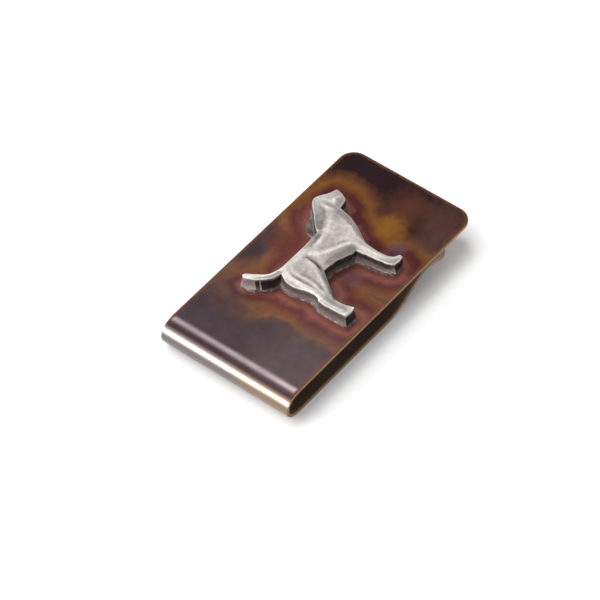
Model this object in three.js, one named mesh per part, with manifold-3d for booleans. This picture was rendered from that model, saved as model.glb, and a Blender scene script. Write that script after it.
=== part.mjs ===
// Money clip: one spring strip folded into a U, with a cast gun dog soldered to its front leg.
//
// Millimetres. +Y runs from the bend to the tip, +Z points out of the front, and the back leg's flat
// underside is z = 0, the face that the clip rests on. The strip is drawn closed and empty. It is one piece
// of metal, cut here at the two ends of its bend, because the front leg swings about the bend's centre.

import * as THREE from 'three';
import { mergeVertices } from 'three/addons/utils/BufferGeometryUtils.js';
import Module from 'manifold-3d';

const wasm = await Module();
wasm.setup();

// Strip
const STRIP_WIDTH = 26.4;
const STRIP_LENGTH = 51.4; // outer face of the bend to the tip of the front leg
const STRIP_THICKNESS = 0.65;
const BEND_RADIUS = 2.75; // outer face
const PLATE_CORNER_RADIUS = 3;
const HINGE_GAP = 0.55; // room for the front leg's cut end as it swings back over the bend

// Back leg, along its middle surface
const LEG_REACH = 45.2; // outer face of the bend to the leg's end
const LEG_CORNER_RADIUS = 3.5;
const RAMP_ANGLE = THREE.MathUtils.degToRad(30);
const RAMP_RADIUS = 12;
const PINCH_REACH = 38.05; // outer face of the bend to the crest that pinches the notes
const PINCH_RADIUS = 5;
const PINCH_GAP = 0.1;
const LIP_ANGLE = THREE.MathUtils.degToRad(20);

// Casting and the solder under it
const DOG_ORIGIN_X = 11.4; // the ground line that the dog stands on
const DOG_ORIGIN_Y = 0.35;
const DOG_EDGE_HEIGHT = 2;
const DOG_BLANK_HEIGHT = 4; // taller than any of its muscles
const SOLDER_THICKNESS = 0.15;
const SOLDER_SPREAD = 0.3;

const CURVE_STEP = 0.6; // longest chord on a smooth stretch of the dog's outline
const ARC_SEGMENTS = 16;
const SHORTEST_EDGE = 0.02; // crumbs that a cut leaves are merged away

// Levels and stations that follow from them
const CLIP_HEIGHT = 2 * BEND_RADIUS;
const REAR_FACE = -STRIP_LENGTH / 2;
const BEND_END = REAR_FACE + BEND_RADIUS;
const HALF_THICKNESS = STRIP_THICKNESS / 2;

const patinaCopper = new THREE.MeshStandardMaterial({ color: 0x5a3a34, roughness: 0.35, metalness: 0.9 });
const polishedBrass = new THREE.MeshStandardMaterial({ color: 0xa08a78, roughness: 0.25, metalness: 1 });
const castPewter = new THREE.MeshStandardMaterial({ color: 0xb4aea8, roughness: 0.45, metalness: 0.9 });
const darkSolder = new THREE.MeshStandardMaterial({ color: 0x4c4644, roughness: 0.7, metalness: 0.6 });

// The dog's outline where it meets the plate, seen upright: [forwards, up] from the ground line. Each list is
// one smooth stretch between two corners, and each starts where the last one ended.
const DOG_OUTLINE = [
  [[-7.6, 0.3], [-7.7, 1.6], [-7.8, 4.6], [-7.6, 6.3]], // back of the hind leg, up to the hock
  [[-7.6, 6.3], [-6.9, 7.7], [-7.2, 9.7], [-7.7, 12.1], [-7.2, 14.45]], // thigh and rump
  [[-7.2, 14.45], [-8.6, 15.1], [-9.9, 16.2]], // hollow under the tail
  [[-9.9, 16.2], [-10.5, 16.95]],
  [[-10.5, 16.95], [-11.2, 18.45]],
  [[-11.2, 18.45], [-11.3, 19.4], [-10.8, 19.9]], // tip of the tail
  [[-10.8, 19.9], [-10, 19.45], [-8.5, 17.2], [-6.9, 16.05], [-4.8, 15.5]], // over the tail
  [[-4.8, 15.5], [-2, 15.5], [0.5, 15.4], [3.8, 15.55]], // back
  [[3.8, 15.55], [5.8, 17.7], [7.65, 19.4], [9.05, 20.55], [10.4, 20.7]], // nape and skull
  [[10.4, 20.7], [12.15, 19.7], [14.05, 19]], // brow and muzzle
  [[14.05, 19], [13.95, 18], [13.3, 16.25]], // nose
  [[13.3, 16.25], [12.15, 16], [11.3, 15.9]], // jaw
  [[11.3, 15.9], [10.95, 13.8], [9.85, 11.2], [8.1, 8.55], [7.4, 6.85], [7.3, 4.4], [8.3, 2.55], [9.35, 2.1]],
  [[9.35, 2.1], [9.3, 1.3]], // toes of the fore paw
  [[9.3, 1.3], [7.9, 1], [6.65, 0.9]], // fore sole
  [[6.65, 0.9], [5.95, 1.8], [5.3, 4.5], [4.75, 7.95]], // back of the foreleg
  [[4.75, 7.95], [2.95, 8.4], [0.9, 9.1], [-1.75, 9.35]], // belly
  [[-1.75, 9.35], [-2.45, 7.75], [-3.8, 6.05], [-5.1, 4.35], [-5.35, 2.3], [-4.95, 0.35]], // thigh and shin
  [[-4.95, 0.35], [-6.3, 0.15], [-7.6, 0.3]], // hind sole
];

// Rounded muscles that swell above the edge: [from, to, radius, height of the crest]
const DOG_MUSCLES = [
  [[-4.2, 12.4], [4.5, 12.2], 3.6, 2.95], // barrel
  [[5.2, 13.2], [9, 17.8], 3.3, 2.9], // neck
  [[9.6, 18.3], [12.6, 17.6], 2, 2.8], // head
  [[6.9, 12], [6.3, 8.6], 2.5, 3.1], // shoulder
  [[6.2, 8.6], [6.3, 3], 1.3, 2.9], // foreleg
  [[-5, 12.6], [-4.7, 9.2], 2.3, 2.95], // haunch
  [[-4.8, 9], [-6.6, 5.6], 1.4, 2.8], // gaskin
  [[-6.6, 5.6], [-6.5, 1.2], 1, 2.65], // hock and pastern
  [[-6.2, 15], [-9, 17.1], 0.9, 2.7], // root of the tail
  [[-9, 17.1], [-10.5, 19], 0.8, 2.6], // tip of the tail
];

function toSolid(geometry) {
  const plain = geometry.clone();
  plain.deleteAttribute('normal');
  plain.deleteAttribute('uv');
  const merged = mergeVertices(plain, 1e-4);
  const mesh = new wasm.Mesh({
    numProp: 3,
    vertProperties: new Float32Array(merged.attributes.position.array),
    triVerts: new Uint32Array(merged.index.array),
  });
  return new wasm.Manifold(mesh);
}

function toGeometry(solid) {
  const mesh = solid.getMesh();
  const geometry = new THREE.BufferGeometry();
  geometry.setAttribute('position', new THREE.BufferAttribute(mesh.vertProperties, 3));
  geometry.setIndex(new THREE.BufferAttribute(mesh.triVerts, 1));
  geometry.computeVertexNormals();
  return geometry;
}

function extrude(shape, depth) {
  return new THREE.ExtrudeGeometry(shape, { depth, bevelEnabled: false, curveSegments: ARC_SEGMENTS });
}

// A profile drawn in (y, z) and extruded across the strip's width
function acrossStrip(shape) {
  const geometry = extrude(shape, STRIP_WIDTH);
  const basis = new THREE.Matrix4().makeBasis(
    new THREE.Vector3(0, 1, 0),
    new THREE.Vector3(0, 0, 1),
    new THREE.Vector3(1, 0, 0),
  );
  geometry.applyMatrix4(basis);
  geometry.translate(-STRIP_WIDTH / 2, 0, 0);
  return geometry;
}

// Plan view of a leg from startY to endY, with its two far corners rounded
function legPlan(startY, endY, cornerRadius) {
  const half = STRIP_WIDTH / 2;
  const plan = new THREE.Shape();
  plan.moveTo(-half, startY);
  plan.lineTo(half, startY);
  plan.absarc(half - cornerRadius, endY - cornerRadius, cornerRadius, 0, Math.PI / 2, false);
  plan.absarc(-half + cornerRadius, endY - cornerRadius, cornerRadius, Math.PI / 2, Math.PI, false);
  plan.closePath();
  return plan;
}

function makeFrontPlate() {
  const plan = legPlan(BEND_END + HINGE_GAP, STRIP_LENGTH / 2, PLATE_CORNER_RADIUS);
  const plate = new THREE.Mesh(extrude(plan, STRIP_THICKNESS), patinaCopper);
  plate.name = 'front_plate';
  plate.position.z = CLIP_HEIGHT - STRIP_THICKNESS;
  return plate;
}

function makeSpringBend() {
  const profile = new THREE.Shape();
  const innerRadius = BEND_RADIUS - STRIP_THICKNESS;
  profile.absarc(BEND_END, BEND_RADIUS, BEND_RADIUS, Math.PI / 2, 1.5 * Math.PI, false);
  profile.absarc(BEND_END, BEND_RADIUS, innerRadius, 1.5 * Math.PI, Math.PI / 2, true);
  profile.closePath();
  const bend = new THREE.Mesh(acrossStrip(profile), polishedBrass);
  bend.name = 'spring_bend';
  return bend;
}

// Steps along the strip's middle surface. A step is a straight { length } or a bend { radius, turn }, where a
// positive turn climbs. Each station returned holds its place and its heading.
function walk(start, steps) {
  const stations = [start];
  for (const step of steps) {
    let { y, z, heading } = stations[stations.length - 1];
    const pieces = step.radius ? ARC_SEGMENTS : 1;
    const turn = (step.turn ?? 0) / pieces;
    const chord = step.radius ? 2 * step.radius * Math.sin(Math.abs(turn) / 2) : step.length;
    for (let i = 0; i < pieces; i += 1) {
      y += chord * Math.cos(heading + turn / 2);
      z += chord * Math.sin(heading + turn / 2);
      heading += turn;
      stations.push({ y, z, heading });
    }
  }
  return stations;
}

function thicken(stations) {
  const side = (offset) => stations.map(
    ({ y, z, heading }) => new THREE.Vector2(y - offset * Math.sin(heading), z + offset * Math.cos(heading)),
  );
  return new THREE.Shape([...side(-HALF_THICKNESS), ...side(HALF_THICKNESS).reverse()]);
}

function makeBackLeg() {
  const rise = CLIP_HEIGHT - 2 * STRIP_THICKNESS - PINCH_GAP;
  const curvedRise = (RAMP_RADIUS + PINCH_RADIUS) * (1 - Math.cos(RAMP_ANGLE));
  const rampLength = (rise - curvedRise) / Math.sin(RAMP_ANGLE);
  const rampReach = (RAMP_RADIUS + PINCH_RADIUS) * Math.sin(RAMP_ANGLE) + rampLength * Math.cos(RAMP_ANGLE);
  const lipReach = LEG_REACH - PINCH_REACH - PINCH_RADIUS * Math.sin(LIP_ANGLE);
  const stations = walk({ y: BEND_END, z: HALF_THICKNESS, heading: 0 }, [
    { length: PINCH_REACH - BEND_RADIUS - rampReach },
    { radius: RAMP_RADIUS, turn: RAMP_ANGLE },
    { length: rampLength },
    { radius: PINCH_RADIUS, turn: -RAMP_ANGLE - LIP_ANGLE },
    { length: lipReach / Math.cos(LIP_ANGLE) + STRIP_THICKNESS },
  ]);
  const strip = toSolid(acrossStrip(thicken(stations)));
  const plan = extrude(legPlan(BEND_END - 1, REAR_FACE + LEG_REACH, LEG_CORNER_RADIUS), CLIP_HEIGHT + 2);
  plan.translate(0, 0, -1);
  const leg = new THREE.Mesh(toGeometry(strip.intersect(toSolid(plan))), polishedBrass);
  leg.name = 'back_leg';
  return leg;
}

// Points along the dog's outline, evenly spaced on each smooth stretch
function dogOutlinePoints() {
  const points = [];
  for (const stretch of DOG_OUTLINE) {
    const curve = new THREE.SplineCurve(stretch.map(([u, v]) => new THREE.Vector2(u, v)));
    const count = Math.max(1, Math.ceil(curve.getLength() / CURVE_STEP));
    points.push(...curve.getSpacedPoints(count).slice(0, -1));
  }
  return points;
}

// Moves a closed outline outwards. It runs clockwise, so its outside is on the left.
function spread(points, distance) {
  return points.map((point, i) => {
    const before = points[(i + points.length - 1) % points.length];
    const after = points[(i + 1) % points.length];
    const into = new THREE.Vector2().subVectors(point, before).normalize();
    const outOf = new THREE.Vector2().subVectors(after, point).normalize();
    const along = new THREE.Vector2().addVectors(into, outOf).normalize();
    return new THREE.Vector2(point.x - along.y * distance, point.y + along.x * distance);
  });
}

function makeMuscle([from, to, radius, crest]) {
  const start = new THREE.Vector3(from[0], from[1], crest - radius);
  const end = new THREE.Vector3(to[0], to[1], crest - radius);
  const along = new THREE.Vector3().subVectors(end, start);
  const capsule = new THREE.CapsuleGeometry(radius, along.length(), 6, 20);
  capsule.applyQuaternion(
    new THREE.Quaternion().setFromUnitVectors(new THREE.Vector3(0, 1, 0), along.clone().normalize()),
  );
  const middle = start.add(end).multiplyScalar(0.5);
  capsule.translate(middle.x, middle.y, middle.z);
  return toSolid(capsule);
}

// The outline's tall blank, cut down to the muscles and to the level of its edge
function makeDogCasting(outline) {
  const blank = toSolid(extrude(new THREE.Shape(outline), DOG_BLANK_HEIGHT));
  const slab = new THREE.BoxGeometry(2 * STRIP_LENGTH, 2 * STRIP_LENGTH, 2 * DOG_EDGE_HEIGHT);
  const body = DOG_MUSCLES.reduce((solid, muscle) => solid.add(makeMuscle(muscle)), toSolid(slab));
  const casting = new THREE.Mesh(toGeometry(blank.intersect(body).simplify(SHORTEST_EDGE)), castPewter);
  casting.name = 'dog_casting';
  casting.position.z = SOLDER_THICKNESS;
  return casting;
}

function makeSolderBed(outline) {
  const shape = new THREE.Shape(spread(outline, SOLDER_SPREAD));
  const bed = new THREE.Mesh(extrude(shape, SOLDER_THICKNESS), darkSolder);
  bed.name = 'solder_bed';
  return bed;
}

// The dog stands with its feet towards +X and its nose towards the tip
function makeOrnament() {
  const outline = dogOutlinePoints();
  const ornament = new THREE.Group();
  ornament.position.set(DOG_ORIGIN_X, DOG_ORIGIN_Y, CLIP_HEIGHT);
  ornament.rotation.z = Math.PI / 2;
  ornament.add(makeSolderBed(outline), makeDogCasting(outline));
  return ornament;
}

const frontLeg = new THREE.Group();
frontLeg.add(makeFrontPlate(), makeOrnament());

const moneyClip = new THREE.Group();
moneyClip.add(frontLeg, makeSpringBend(), makeBackLeg());

export default moneyClip;
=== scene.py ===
"""A money clip: a flame-coloured metal strip folded into a U, with a cast pewter gun dog on its front.

Shapes are worked out in millimetres in the frame's own axes, +Y from the bend to the tip and +Z out of the
front, and turned into metres when a mesh is made.
"""

import math

import bmesh
import bpy
import numpy as np
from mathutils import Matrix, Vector, noise
from mathutils.geometry import delaunay_2d_cdt


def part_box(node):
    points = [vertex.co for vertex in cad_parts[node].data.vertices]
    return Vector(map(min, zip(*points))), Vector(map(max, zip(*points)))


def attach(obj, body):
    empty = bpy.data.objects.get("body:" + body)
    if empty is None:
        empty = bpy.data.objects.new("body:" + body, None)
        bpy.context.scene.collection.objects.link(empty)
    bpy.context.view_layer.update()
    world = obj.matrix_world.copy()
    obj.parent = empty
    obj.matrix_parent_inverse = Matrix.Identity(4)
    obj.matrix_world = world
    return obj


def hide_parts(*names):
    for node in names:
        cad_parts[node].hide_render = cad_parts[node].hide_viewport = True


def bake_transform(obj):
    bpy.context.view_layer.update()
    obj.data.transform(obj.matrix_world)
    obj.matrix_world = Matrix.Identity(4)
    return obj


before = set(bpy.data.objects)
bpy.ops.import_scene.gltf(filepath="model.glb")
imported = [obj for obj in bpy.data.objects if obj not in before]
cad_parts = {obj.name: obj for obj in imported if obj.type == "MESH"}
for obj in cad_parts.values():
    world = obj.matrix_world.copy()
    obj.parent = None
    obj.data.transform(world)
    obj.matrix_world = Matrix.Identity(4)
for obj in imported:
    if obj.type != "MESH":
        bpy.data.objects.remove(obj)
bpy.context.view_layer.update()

MM = 0.001


# ---------------------------------------------------------------- sizes from the frame, in millimetres

def node_box(name):
    low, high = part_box(name)
    return np.array(low) / MM, np.array(high) / MM


plate_low, plate_high = node_box("front_plate")
bend_low, bend_high = node_box("spring_bend")
leg_low, leg_high = node_box("back_leg")

HALF_WIDTH = plate_high[0]
THICKNESS = plate_high[2] - plate_low[2]
PLATE_TOP = plate_high[2]
TIP = plate_high[1]
BEND_RADIUS = bend_high[2] / 2
BEND_END = bend_low[1] + BEND_RADIUS
LEG_END = leg_high[1]

BEND_SEAM = 1.2  # the bend piece runs this far past the turn, so that its seams lie in flat metal
EASE_RADIUS = 6.5  # the strip starts and ends its turn gently
EASE_ANGLE = math.radians(14)
PLATE_CORNER_RADIUS = 3.0
LEG_CORNER_RADIUS = 3.5
EDGE_ROUND = 0.12
CORNER_STEPS = 20
ROUND_STEPS = 3
ROUNDING = 1e-9  # room for rounding errors

# The back leg runs flat, climbs to the pinch and falls away as a lip
RAMP_ANGLE = math.radians(30)
RAMP_RADIUS = 12.0
PINCH_RADIUS = 5.0
PINCH_REACH = 35.3  # from the end of the bend to the crest
PINCH_GAP = 0.1
LIP_ANGLE = math.radians(20)

DOG_GROUND_X = 11.4
DOG_MIDDLE_Y = 0.35


# ---------------------------------------------------------------- meshes

def make_object(name, vertices, faces, smooth_angle=40):
    """A mesh object from millimetre vertices, smooth but for edges sharper than smooth_angle."""
    mesh = bpy.data.meshes.new(name)
    mesh.from_pydata([Vector(v) * MM for v in vertices], [], faces)
    face_outwards(mesh)
    mesh.shade_smooth()
    mesh.set_sharp_from_angle(angle=math.radians(smooth_angle))
    store_rest_places(mesh)
    obj = bpy.data.objects.new(name, mesh)
    bpy.context.scene.collection.objects.link(obj)
    return obj


def face_outwards(mesh):
    work = bmesh.new()
    work.from_mesh(mesh)
    bmesh.ops.recalc_face_normals(work, faces=work.faces)
    work.to_mesh(mesh)
    work.free()


def store_rest_places(mesh):
    """Keeps each vertex's place at rest, in millimetres, so that textures stay put when a piece bends."""
    places = np.zeros(len(mesh.vertices) * 3, np.float32)
    mesh.vertices.foreach_get("co", places)
    attribute = mesh.attributes.new("rest_mm", "FLOAT_VECTOR", "POINT")
    attribute.data.foreach_set("vector", places / MM)


def smooth_step(value, low, high):
    t = np.clip((value - low) / (high - low), 0, 1)
    return t * t * (3 - 2 * t)


def store_number(obj, name, values):
    attribute = obj.data.attributes.new(name, "FLOAT", "POINT")
    attribute.data.foreach_set("value", np.asarray(values, np.float32))


# ---------------------------------------------------------------- the strip

class Path:
    """The strip's middle line in the YZ plane, walked as straights and arcs.

    outer_side is 1 where the strip's outer face is on the walk's left, and -1 on its right.
    """

    def __init__(self, y, z, heading, outer_side):
        self.legs = []
        self.length = 0.0
        self.end = (y, z, heading)
        self.outer_side = outer_side

    def go(self, length, curvature=0.0):
        """Adds a stretch; a positive curvature turns left."""
        self.legs.append((self.length, *self.end, curvature))
        self.length += length
        self.end = self.step(*self.end, curvature, length)
        return self

    @staticmethod
    def step(y, z, heading, curvature, run):
        after = heading + curvature * run
        if curvature:
            along = (math.sin(after) - math.sin(heading)) / curvature
            up = (math.cos(heading) - math.cos(after)) / curvature
        else:
            along = run * math.cos(heading)
            up = run * math.sin(heading)
        return y + along, z + up, after

    def point(self, x, station, outward):
        leg = [leg for leg in self.legs if station >= leg[0] - ROUNDING][-1]
        y, z, heading = self.step(*leg[1:], station - leg[0])
        offset = outward * self.outer_side
        return x, y - offset * math.sin(heading), z + offset * math.cos(heading)


def strip_rows(path, spacing, corner_radius, inset):
    """(station, half width) of each row of a sheet whose outline is moved inwards by inset.

    With a corner radius the far end is rounded. Without one it is cut square and isn't moved.
    """
    straight_end = path.length - corner_radius
    stops = [leg[0] for leg in path.legs if leg[0] < straight_end] + [straight_end]
    stations = [0.0]
    for start, end in zip(stops, stops[1:]):
        steps = max(1, math.ceil((end - start) / spacing))
        stations += [start + (end - start) * (i + 1) / steps for i in range(steps)]
    rows = [(station, HALF_WIDTH - inset) for station in stations]
    if corner_radius:
        reach = corner_radius - inset
        for i in range(1, CORNER_STEPS + 1):
            angle = math.pi / 2 * i / CORNER_STEPS
            half = HALF_WIDTH - corner_radius + reach * math.cos(angle)
            rows.append((straight_end + reach * math.sin(angle), half))
    return rows


def edge_levels():
    """(inset, outward offset) of the rings that carry the outer face round the edge to the inner face."""
    levels = []
    for i in range(ROUND_STEPS + 1):
        angle = math.pi / 2 * i / ROUND_STEPS
        inset = EDGE_ROUND * (1 - math.sin(angle))
        levels.append((inset, THICKNESS / 2 - EDGE_ROUND * (1 - math.cos(angle))))
    return levels + [(inset, -outward) for inset, outward in reversed(levels)]


def rim_places(last, columns, has_corners):
    """(row, column) along a sheet's rounded edges: one edge right round its far end, or two long ones."""
    left = [(row, 0) for row in range(last + 1)]
    far = [(last, column) for column in range(1, columns)]
    right = [(row, columns) for row in range(last, -1, -1)]
    return [left + far + right] if has_corners else [left, right]


def make_sheet(name, path, spacing, columns, corner_radius=0.0):
    """A stretch of the strip as one closed mesh with rounded edges, and a rounded end if it has corners."""
    vertices = []
    faces = []
    levels = edge_levels()
    across = np.linspace(-1, 1, columns + 1)
    last = len(strip_rows(path, spacing, corner_radius, 0)) - 1

    def add_grid(inset, outward):
        first = len(vertices)
        for station, half in strip_rows(path, spacing, corner_radius, inset):
            vertices.extend(path.point(u * half, station, outward) for u in across)
        return lambda row, column: first + row * (columns + 1) + column

    outer = add_grid(*levels[0])
    inner = add_grid(*levels[-1])
    for row in range(last):
        for column in range(columns):
            corners = [(row, column), (row, column + 1), (row + 1, column + 1), (row + 1, column)]
            faces.append([outer(*corner) for corner in corners])
            faces.append([inner(*corner) for corner in reversed(corners)])

    ends = {}
    for rim in rim_places(last, columns, corner_radius > 0):
        rings = [[outer(*place) for place in rim]]
        for inset, outward in levels[1:-1]:
            rows = strip_rows(path, spacing, corner_radius, inset)
            first = len(vertices)
            vertices.extend(path.point(across[c] * rows[r][1], rows[r][0], outward) for r, c in rim)
            rings.append(list(range(first, first + len(rim))))
        rings.append([inner(*place) for place in rim])
        for ring, following in zip(rings, rings[1:]):
            faces += [[ring[i], ring[i + 1], following[i + 1], following[i]] for i in range(len(rim) - 1)]
        ends[rim[0]] = [ring[0] for ring in rings]
        ends[rim[-1]] = [ring[-1] for ring in rings]

    for row in [0] if corner_radius else [0, last]:
        over = [outer(row, column) for column in range(columns + 1)]
        under = [inner(row, column) for column in range(columns, -1, -1)]
        faces.append(over + ends[(row, columns)][1:-1] + under + ends[(row, 0)][-2:0:-1])
    return make_object(name, vertices, faces)


def front_path():
    path = Path(BEND_END + BEND_SEAM, PLATE_TOP - THICKNESS / 2, 0, 1)
    return path.go(TIP - BEND_END - BEND_SEAM)


def bend_path():
    """Half a turn, eased in and out, that reaches as far and stands as high as the frame's bend."""
    half_height = BEND_RADIUS - THICKNESS / 2
    ease_turn = EASE_RADIUS * EASE_ANGLE
    radius = (half_height - EASE_RADIUS * (1 - math.cos(EASE_ANGLE))) / math.cos(EASE_ANGLE)
    reach = EASE_RADIUS * math.sin(EASE_ANGLE) + radius * (1 - math.sin(EASE_ANGLE))
    flat = BEND_SEAM + half_height - reach
    path = Path(BEND_END + BEND_SEAM, PLATE_TOP - THICKNESS / 2, math.pi, -1)
    path.go(flat).go(ease_turn, 1 / EASE_RADIUS).go(radius * (math.pi - 2 * EASE_ANGLE), 1 / radius)
    return path.go(ease_turn, 1 / EASE_RADIUS).go(flat)


def leg_path():
    rise = 2 * BEND_RADIUS - 2 * THICKNESS - PINCH_GAP
    radii = RAMP_RADIUS + PINCH_RADIUS
    ramp = (rise - radii * (1 - math.cos(RAMP_ANGLE))) / math.sin(RAMP_ANGLE)
    climb_reach = radii * math.sin(RAMP_ANGLE) + ramp * math.cos(RAMP_ANGLE)
    path = Path(BEND_END + BEND_SEAM, THICKNESS / 2, 0, -1)
    path.go(PINCH_REACH - BEND_SEAM - climb_reach)
    path.go(RAMP_RADIUS * RAMP_ANGLE, 1 / RAMP_RADIUS)
    path.go(ramp)
    path.go(PINCH_RADIUS * (RAMP_ANGLE + LIP_ANGLE), -1 / PINCH_RADIUS)
    return path.go((LEG_END - path.end[0]) / math.cos(LIP_ANGLE))


# ---------------------------------------------------------------- the dog

# The casting seen upright, in millimetres: forwards and up from the ground line between its feet, then
# height. Its outline runs clockwise in smooth stretches that meet at corners: (how much painted shade its
# wall gets, points along the top edge, points along the foot of the wall).
DOG_OUTLINE = [
    # back of the hind leg, from sole to hock
    (0.62,
     [(-7.46, 0.8, 2.6), (-7.5, 1.6, 2.5), (-7.56, 2.8, 2.45), (-7.62, 4.2, 2.45), (-7.62, 5.3, 2.45),
      (-7.45, 6.15, 2.45)],
     [(-7.62, 0.35), (-7.7, 1.6), (-7.75, 3.4), (-7.78, 4.8), (-7.74, 5.6), (-7.6, 6.3)]),
    # thigh and rump
    (0.6,
     [(-7.45, 6.15, 2.45), (-7.0, 6.75, 2.45), (-6.78, 7.6, 2.42), (-6.88, 8.7, 2.4), (-7.15, 9.9, 2.35),
      (-7.42, 11.0, 2.3), (-7.5, 12.2, 2.3), (-7.3, 13.2, 2.32), (-6.85, 14.1, 2.4), (-6.45, 14.8, 2.45)],
     [(-7.6, 6.3), (-7.1, 6.95), (-6.92, 7.75), (-7.0, 8.7), (-7.25, 9.8), (-7.55, 10.9), (-7.68, 12.1),
      (-7.6, 13.2), (-7.35, 14.0), (-7.2, 14.45)]),
    # hollow under the tail
    (1.8,
     [(-6.45, 14.8, 2.4), (-7.2, 14.98, 2.4), (-8.1, 15.3, 2.45), (-8.95, 15.85, 2.5), (-9.7, 16.65, 2.5)],
     [(-7.2, 14.45), (-7.9, 14.72), (-8.6, 15.08), (-9.25, 15.55), (-9.88, 16.22)]),
    (1.6, [(-9.7, 16.65, 2.5), (-10.3, 17.35, 2.5)], [(-9.88, 16.22), (-10.52, 16.95)]),
    (0.3, [(-10.3, 17.35, 2.5), (-10.92, 18.6, 2.45)], [(-10.52, 16.95), (-11.2, 18.45)]),
    # tip of the tail
    (0.25,
     [(-10.92, 18.6, 2.45), (-10.98, 19.2, 2.4), (-10.65, 19.55, 2.35)],
     [(-11.2, 18.45), (-11.28, 19.4), (-10.8, 19.9)]),
    # over the tail
    (0.4,
     [(-10.65, 19.55, 2.35), (-10.15, 19.3, 2.3), (-9.5, 18.35, 2.3), (-8.65, 17.1, 2.3),
      (-7.9, 16.35, 2.25), (-7.0, 15.9, 2.28), (-5.9, 15.55, 2.3), (-4.8, 15.38, 2.35)],
     [(-10.8, 19.9), (-10.0, 19.45), (-9.35, 18.42), (-8.52, 17.2), (-7.8, 16.5), (-6.92, 16.05),
      (-5.85, 15.7), (-4.8, 15.52)]),
    # back
    (0.4,
     [(-4.8, 15.38, 2.35), (-2.0, 15.36, 2.4), (0.5, 15.26, 2.55), (2.5, 15.3, 2.74), (4.15, 15.35, 2.78)],
     [(-4.8, 15.52), (-2.0, 15.5), (0.5, 15.4), (2.4, 15.45), (3.8, 15.55)]),
    # nape and skull
    (0.6,
     [(4.15, 15.35, 2.78), (5.1, 16.55, 2.8), (6.05, 17.45, 2.8), (6.9, 18.2, 2.8), (7.9, 19.2, 2.76),
      (8.55, 19.85, 2.72), (9.15, 20.32, 2.68), (9.7, 20.52, 2.66), (10.35, 20.5, 2.65)],
     [(3.8, 15.55), (4.85, 16.8), (5.82, 17.7), (6.65, 18.42), (7.65, 19.42), (8.35, 20.08), (9.05, 20.55),
      (9.7, 20.72), (10.42, 20.68)]),
    # brow and muzzle
    (0.4,
     [(10.35, 20.5, 2.65), (11.1, 20.15, 2.65), (12.05, 19.5, 2.65), (13.0, 19.08, 2.65),
      (13.85, 18.85, 2.6)],
     [(10.42, 20.68), (11.2, 20.32), (12.14, 19.68), (13.08, 19.26), (14.03, 19.0)]),
    # nose
    (0.4,
     [(13.85, 18.85, 2.6), (13.76, 18.05, 2.6), (13.5, 17.25, 2.55), (13.1, 16.45, 2.5)],
     [(14.03, 19.0), (13.95, 18.0), (13.68, 17.15), (13.28, 16.25)]),
    # jaw
    (1.3,
     [(13.1, 16.45, 2.5), (12.05, 16.2, 2.45), (11.1, 16.1, 2.4)],
     [(13.28, 16.25), (12.15, 16.0), (11.3, 15.9)]),
    # throat, chest and front of the foreleg
    (0.6,
     [(11.1, 16.1, 2.4), (10.95, 15.4, 2.3), (10.88, 14.7, 2.2), (10.75, 13.9, 2.1), (10.5, 13.1, 2.05),
      (10.15, 12.3, 2.0), (9.65, 11.3, 2.0), (9.05, 10.3, 2.0), (8.45, 9.4, 2.05), (7.9, 8.65, 2.15),
      (7.45, 7.9, 2.3), (7.2, 6.9, 2.4), (7.08, 5.3, 2.4), (7.18, 4.0, 2.35), (7.5, 3.05, 2.2),
      (8.2, 2.4, 1.95), (9.15, 2.0, 1.8)],
     [(11.3, 15.9), (11.15, 15.25), (11.08, 14.6), (10.95, 13.8), (10.7, 13.0), (10.35, 12.2), (9.85, 11.2),
      (9.25, 10.2), (8.65, 9.3), (8.1, 8.55), (7.65, 7.8), (7.4, 6.85), (7.27, 5.3), (7.36, 4.1),
      (7.66, 3.2), (8.32, 2.56), (9.35, 2.12)]),
    (0.8, [(9.15, 2.0, 1.8), (9.1, 1.5, 1.8)], [(9.35, 2.12), (9.3, 1.3)]),  # toes
    # fore sole
    (1.8,
     [(9.1, 1.5, 1.8), (7.9, 1.3, 2.0), (6.75, 1.35, 2.2)],
     [(9.3, 1.3), (7.9, 1.0), (6.65, 0.9)]),
    # back of the foreleg
    (1.0,
     [(6.75, 1.35, 2.2), (6.2, 2.1, 2.3), (5.85, 3.2, 2.35), (5.65, 4.6, 2.4), (5.48, 6.2, 2.4),
      (5.15, 8.15, 2.45)],
     [(6.65, 0.9), (5.95, 1.8), (5.55, 3.0), (5.3, 4.5), (5.08, 6.0), (4.75, 7.95)]),
    # belly
    (1.12,
     [(5.15, 8.15, 2.45), (4.2, 8.25, 2.45), (3.1, 8.58, 2.5), (1.7, 9.08, 2.5), (1.05, 9.32, 2.5),
      (-0.15, 9.45, 2.5), (-1.8, 9.6, 2.45)],
     [(4.75, 7.95), (4.0, 8.05), (2.95, 8.38), (1.65, 8.84), (0.9, 9.08), (-0.3, 9.24), (-1.75, 9.34)]),
    # thigh and front of the shin
    (0.8,
     [(-1.8, 9.6, 2.45), (-2.25, 8.85, 2.2), (-2.85, 7.95, 2.0), (-3.5, 7.05, 1.95), (-4.25, 6.2, 1.95),
      (-4.95, 5.35, 2.0), (-5.45, 4.5, 2.15), (-5.68, 3.5, 2.3), (-5.62, 2.4, 2.35), (-5.42, 1.5, 2.45),
      (-5.28, 0.65, 2.6)],
     [(-1.75, 9.34), (-2.0, 8.6), (-2.45, 7.75), (-3.05, 6.9), (-3.8, 6.05), (-4.55, 5.25), (-5.12, 4.35),
      (-5.4, 3.4), (-5.36, 2.3), (-5.1, 1.3), (-4.95, 0.35)]),
    # hind sole
    (1.9,
     [(-5.28, 0.65, 2.6), (-6.4, 0.55, 2.6), (-7.46, 0.8, 2.6)],
     [(-4.95, 0.35), (-6.3, 0.15), (-7.62, 0.35)]),
]

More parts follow.
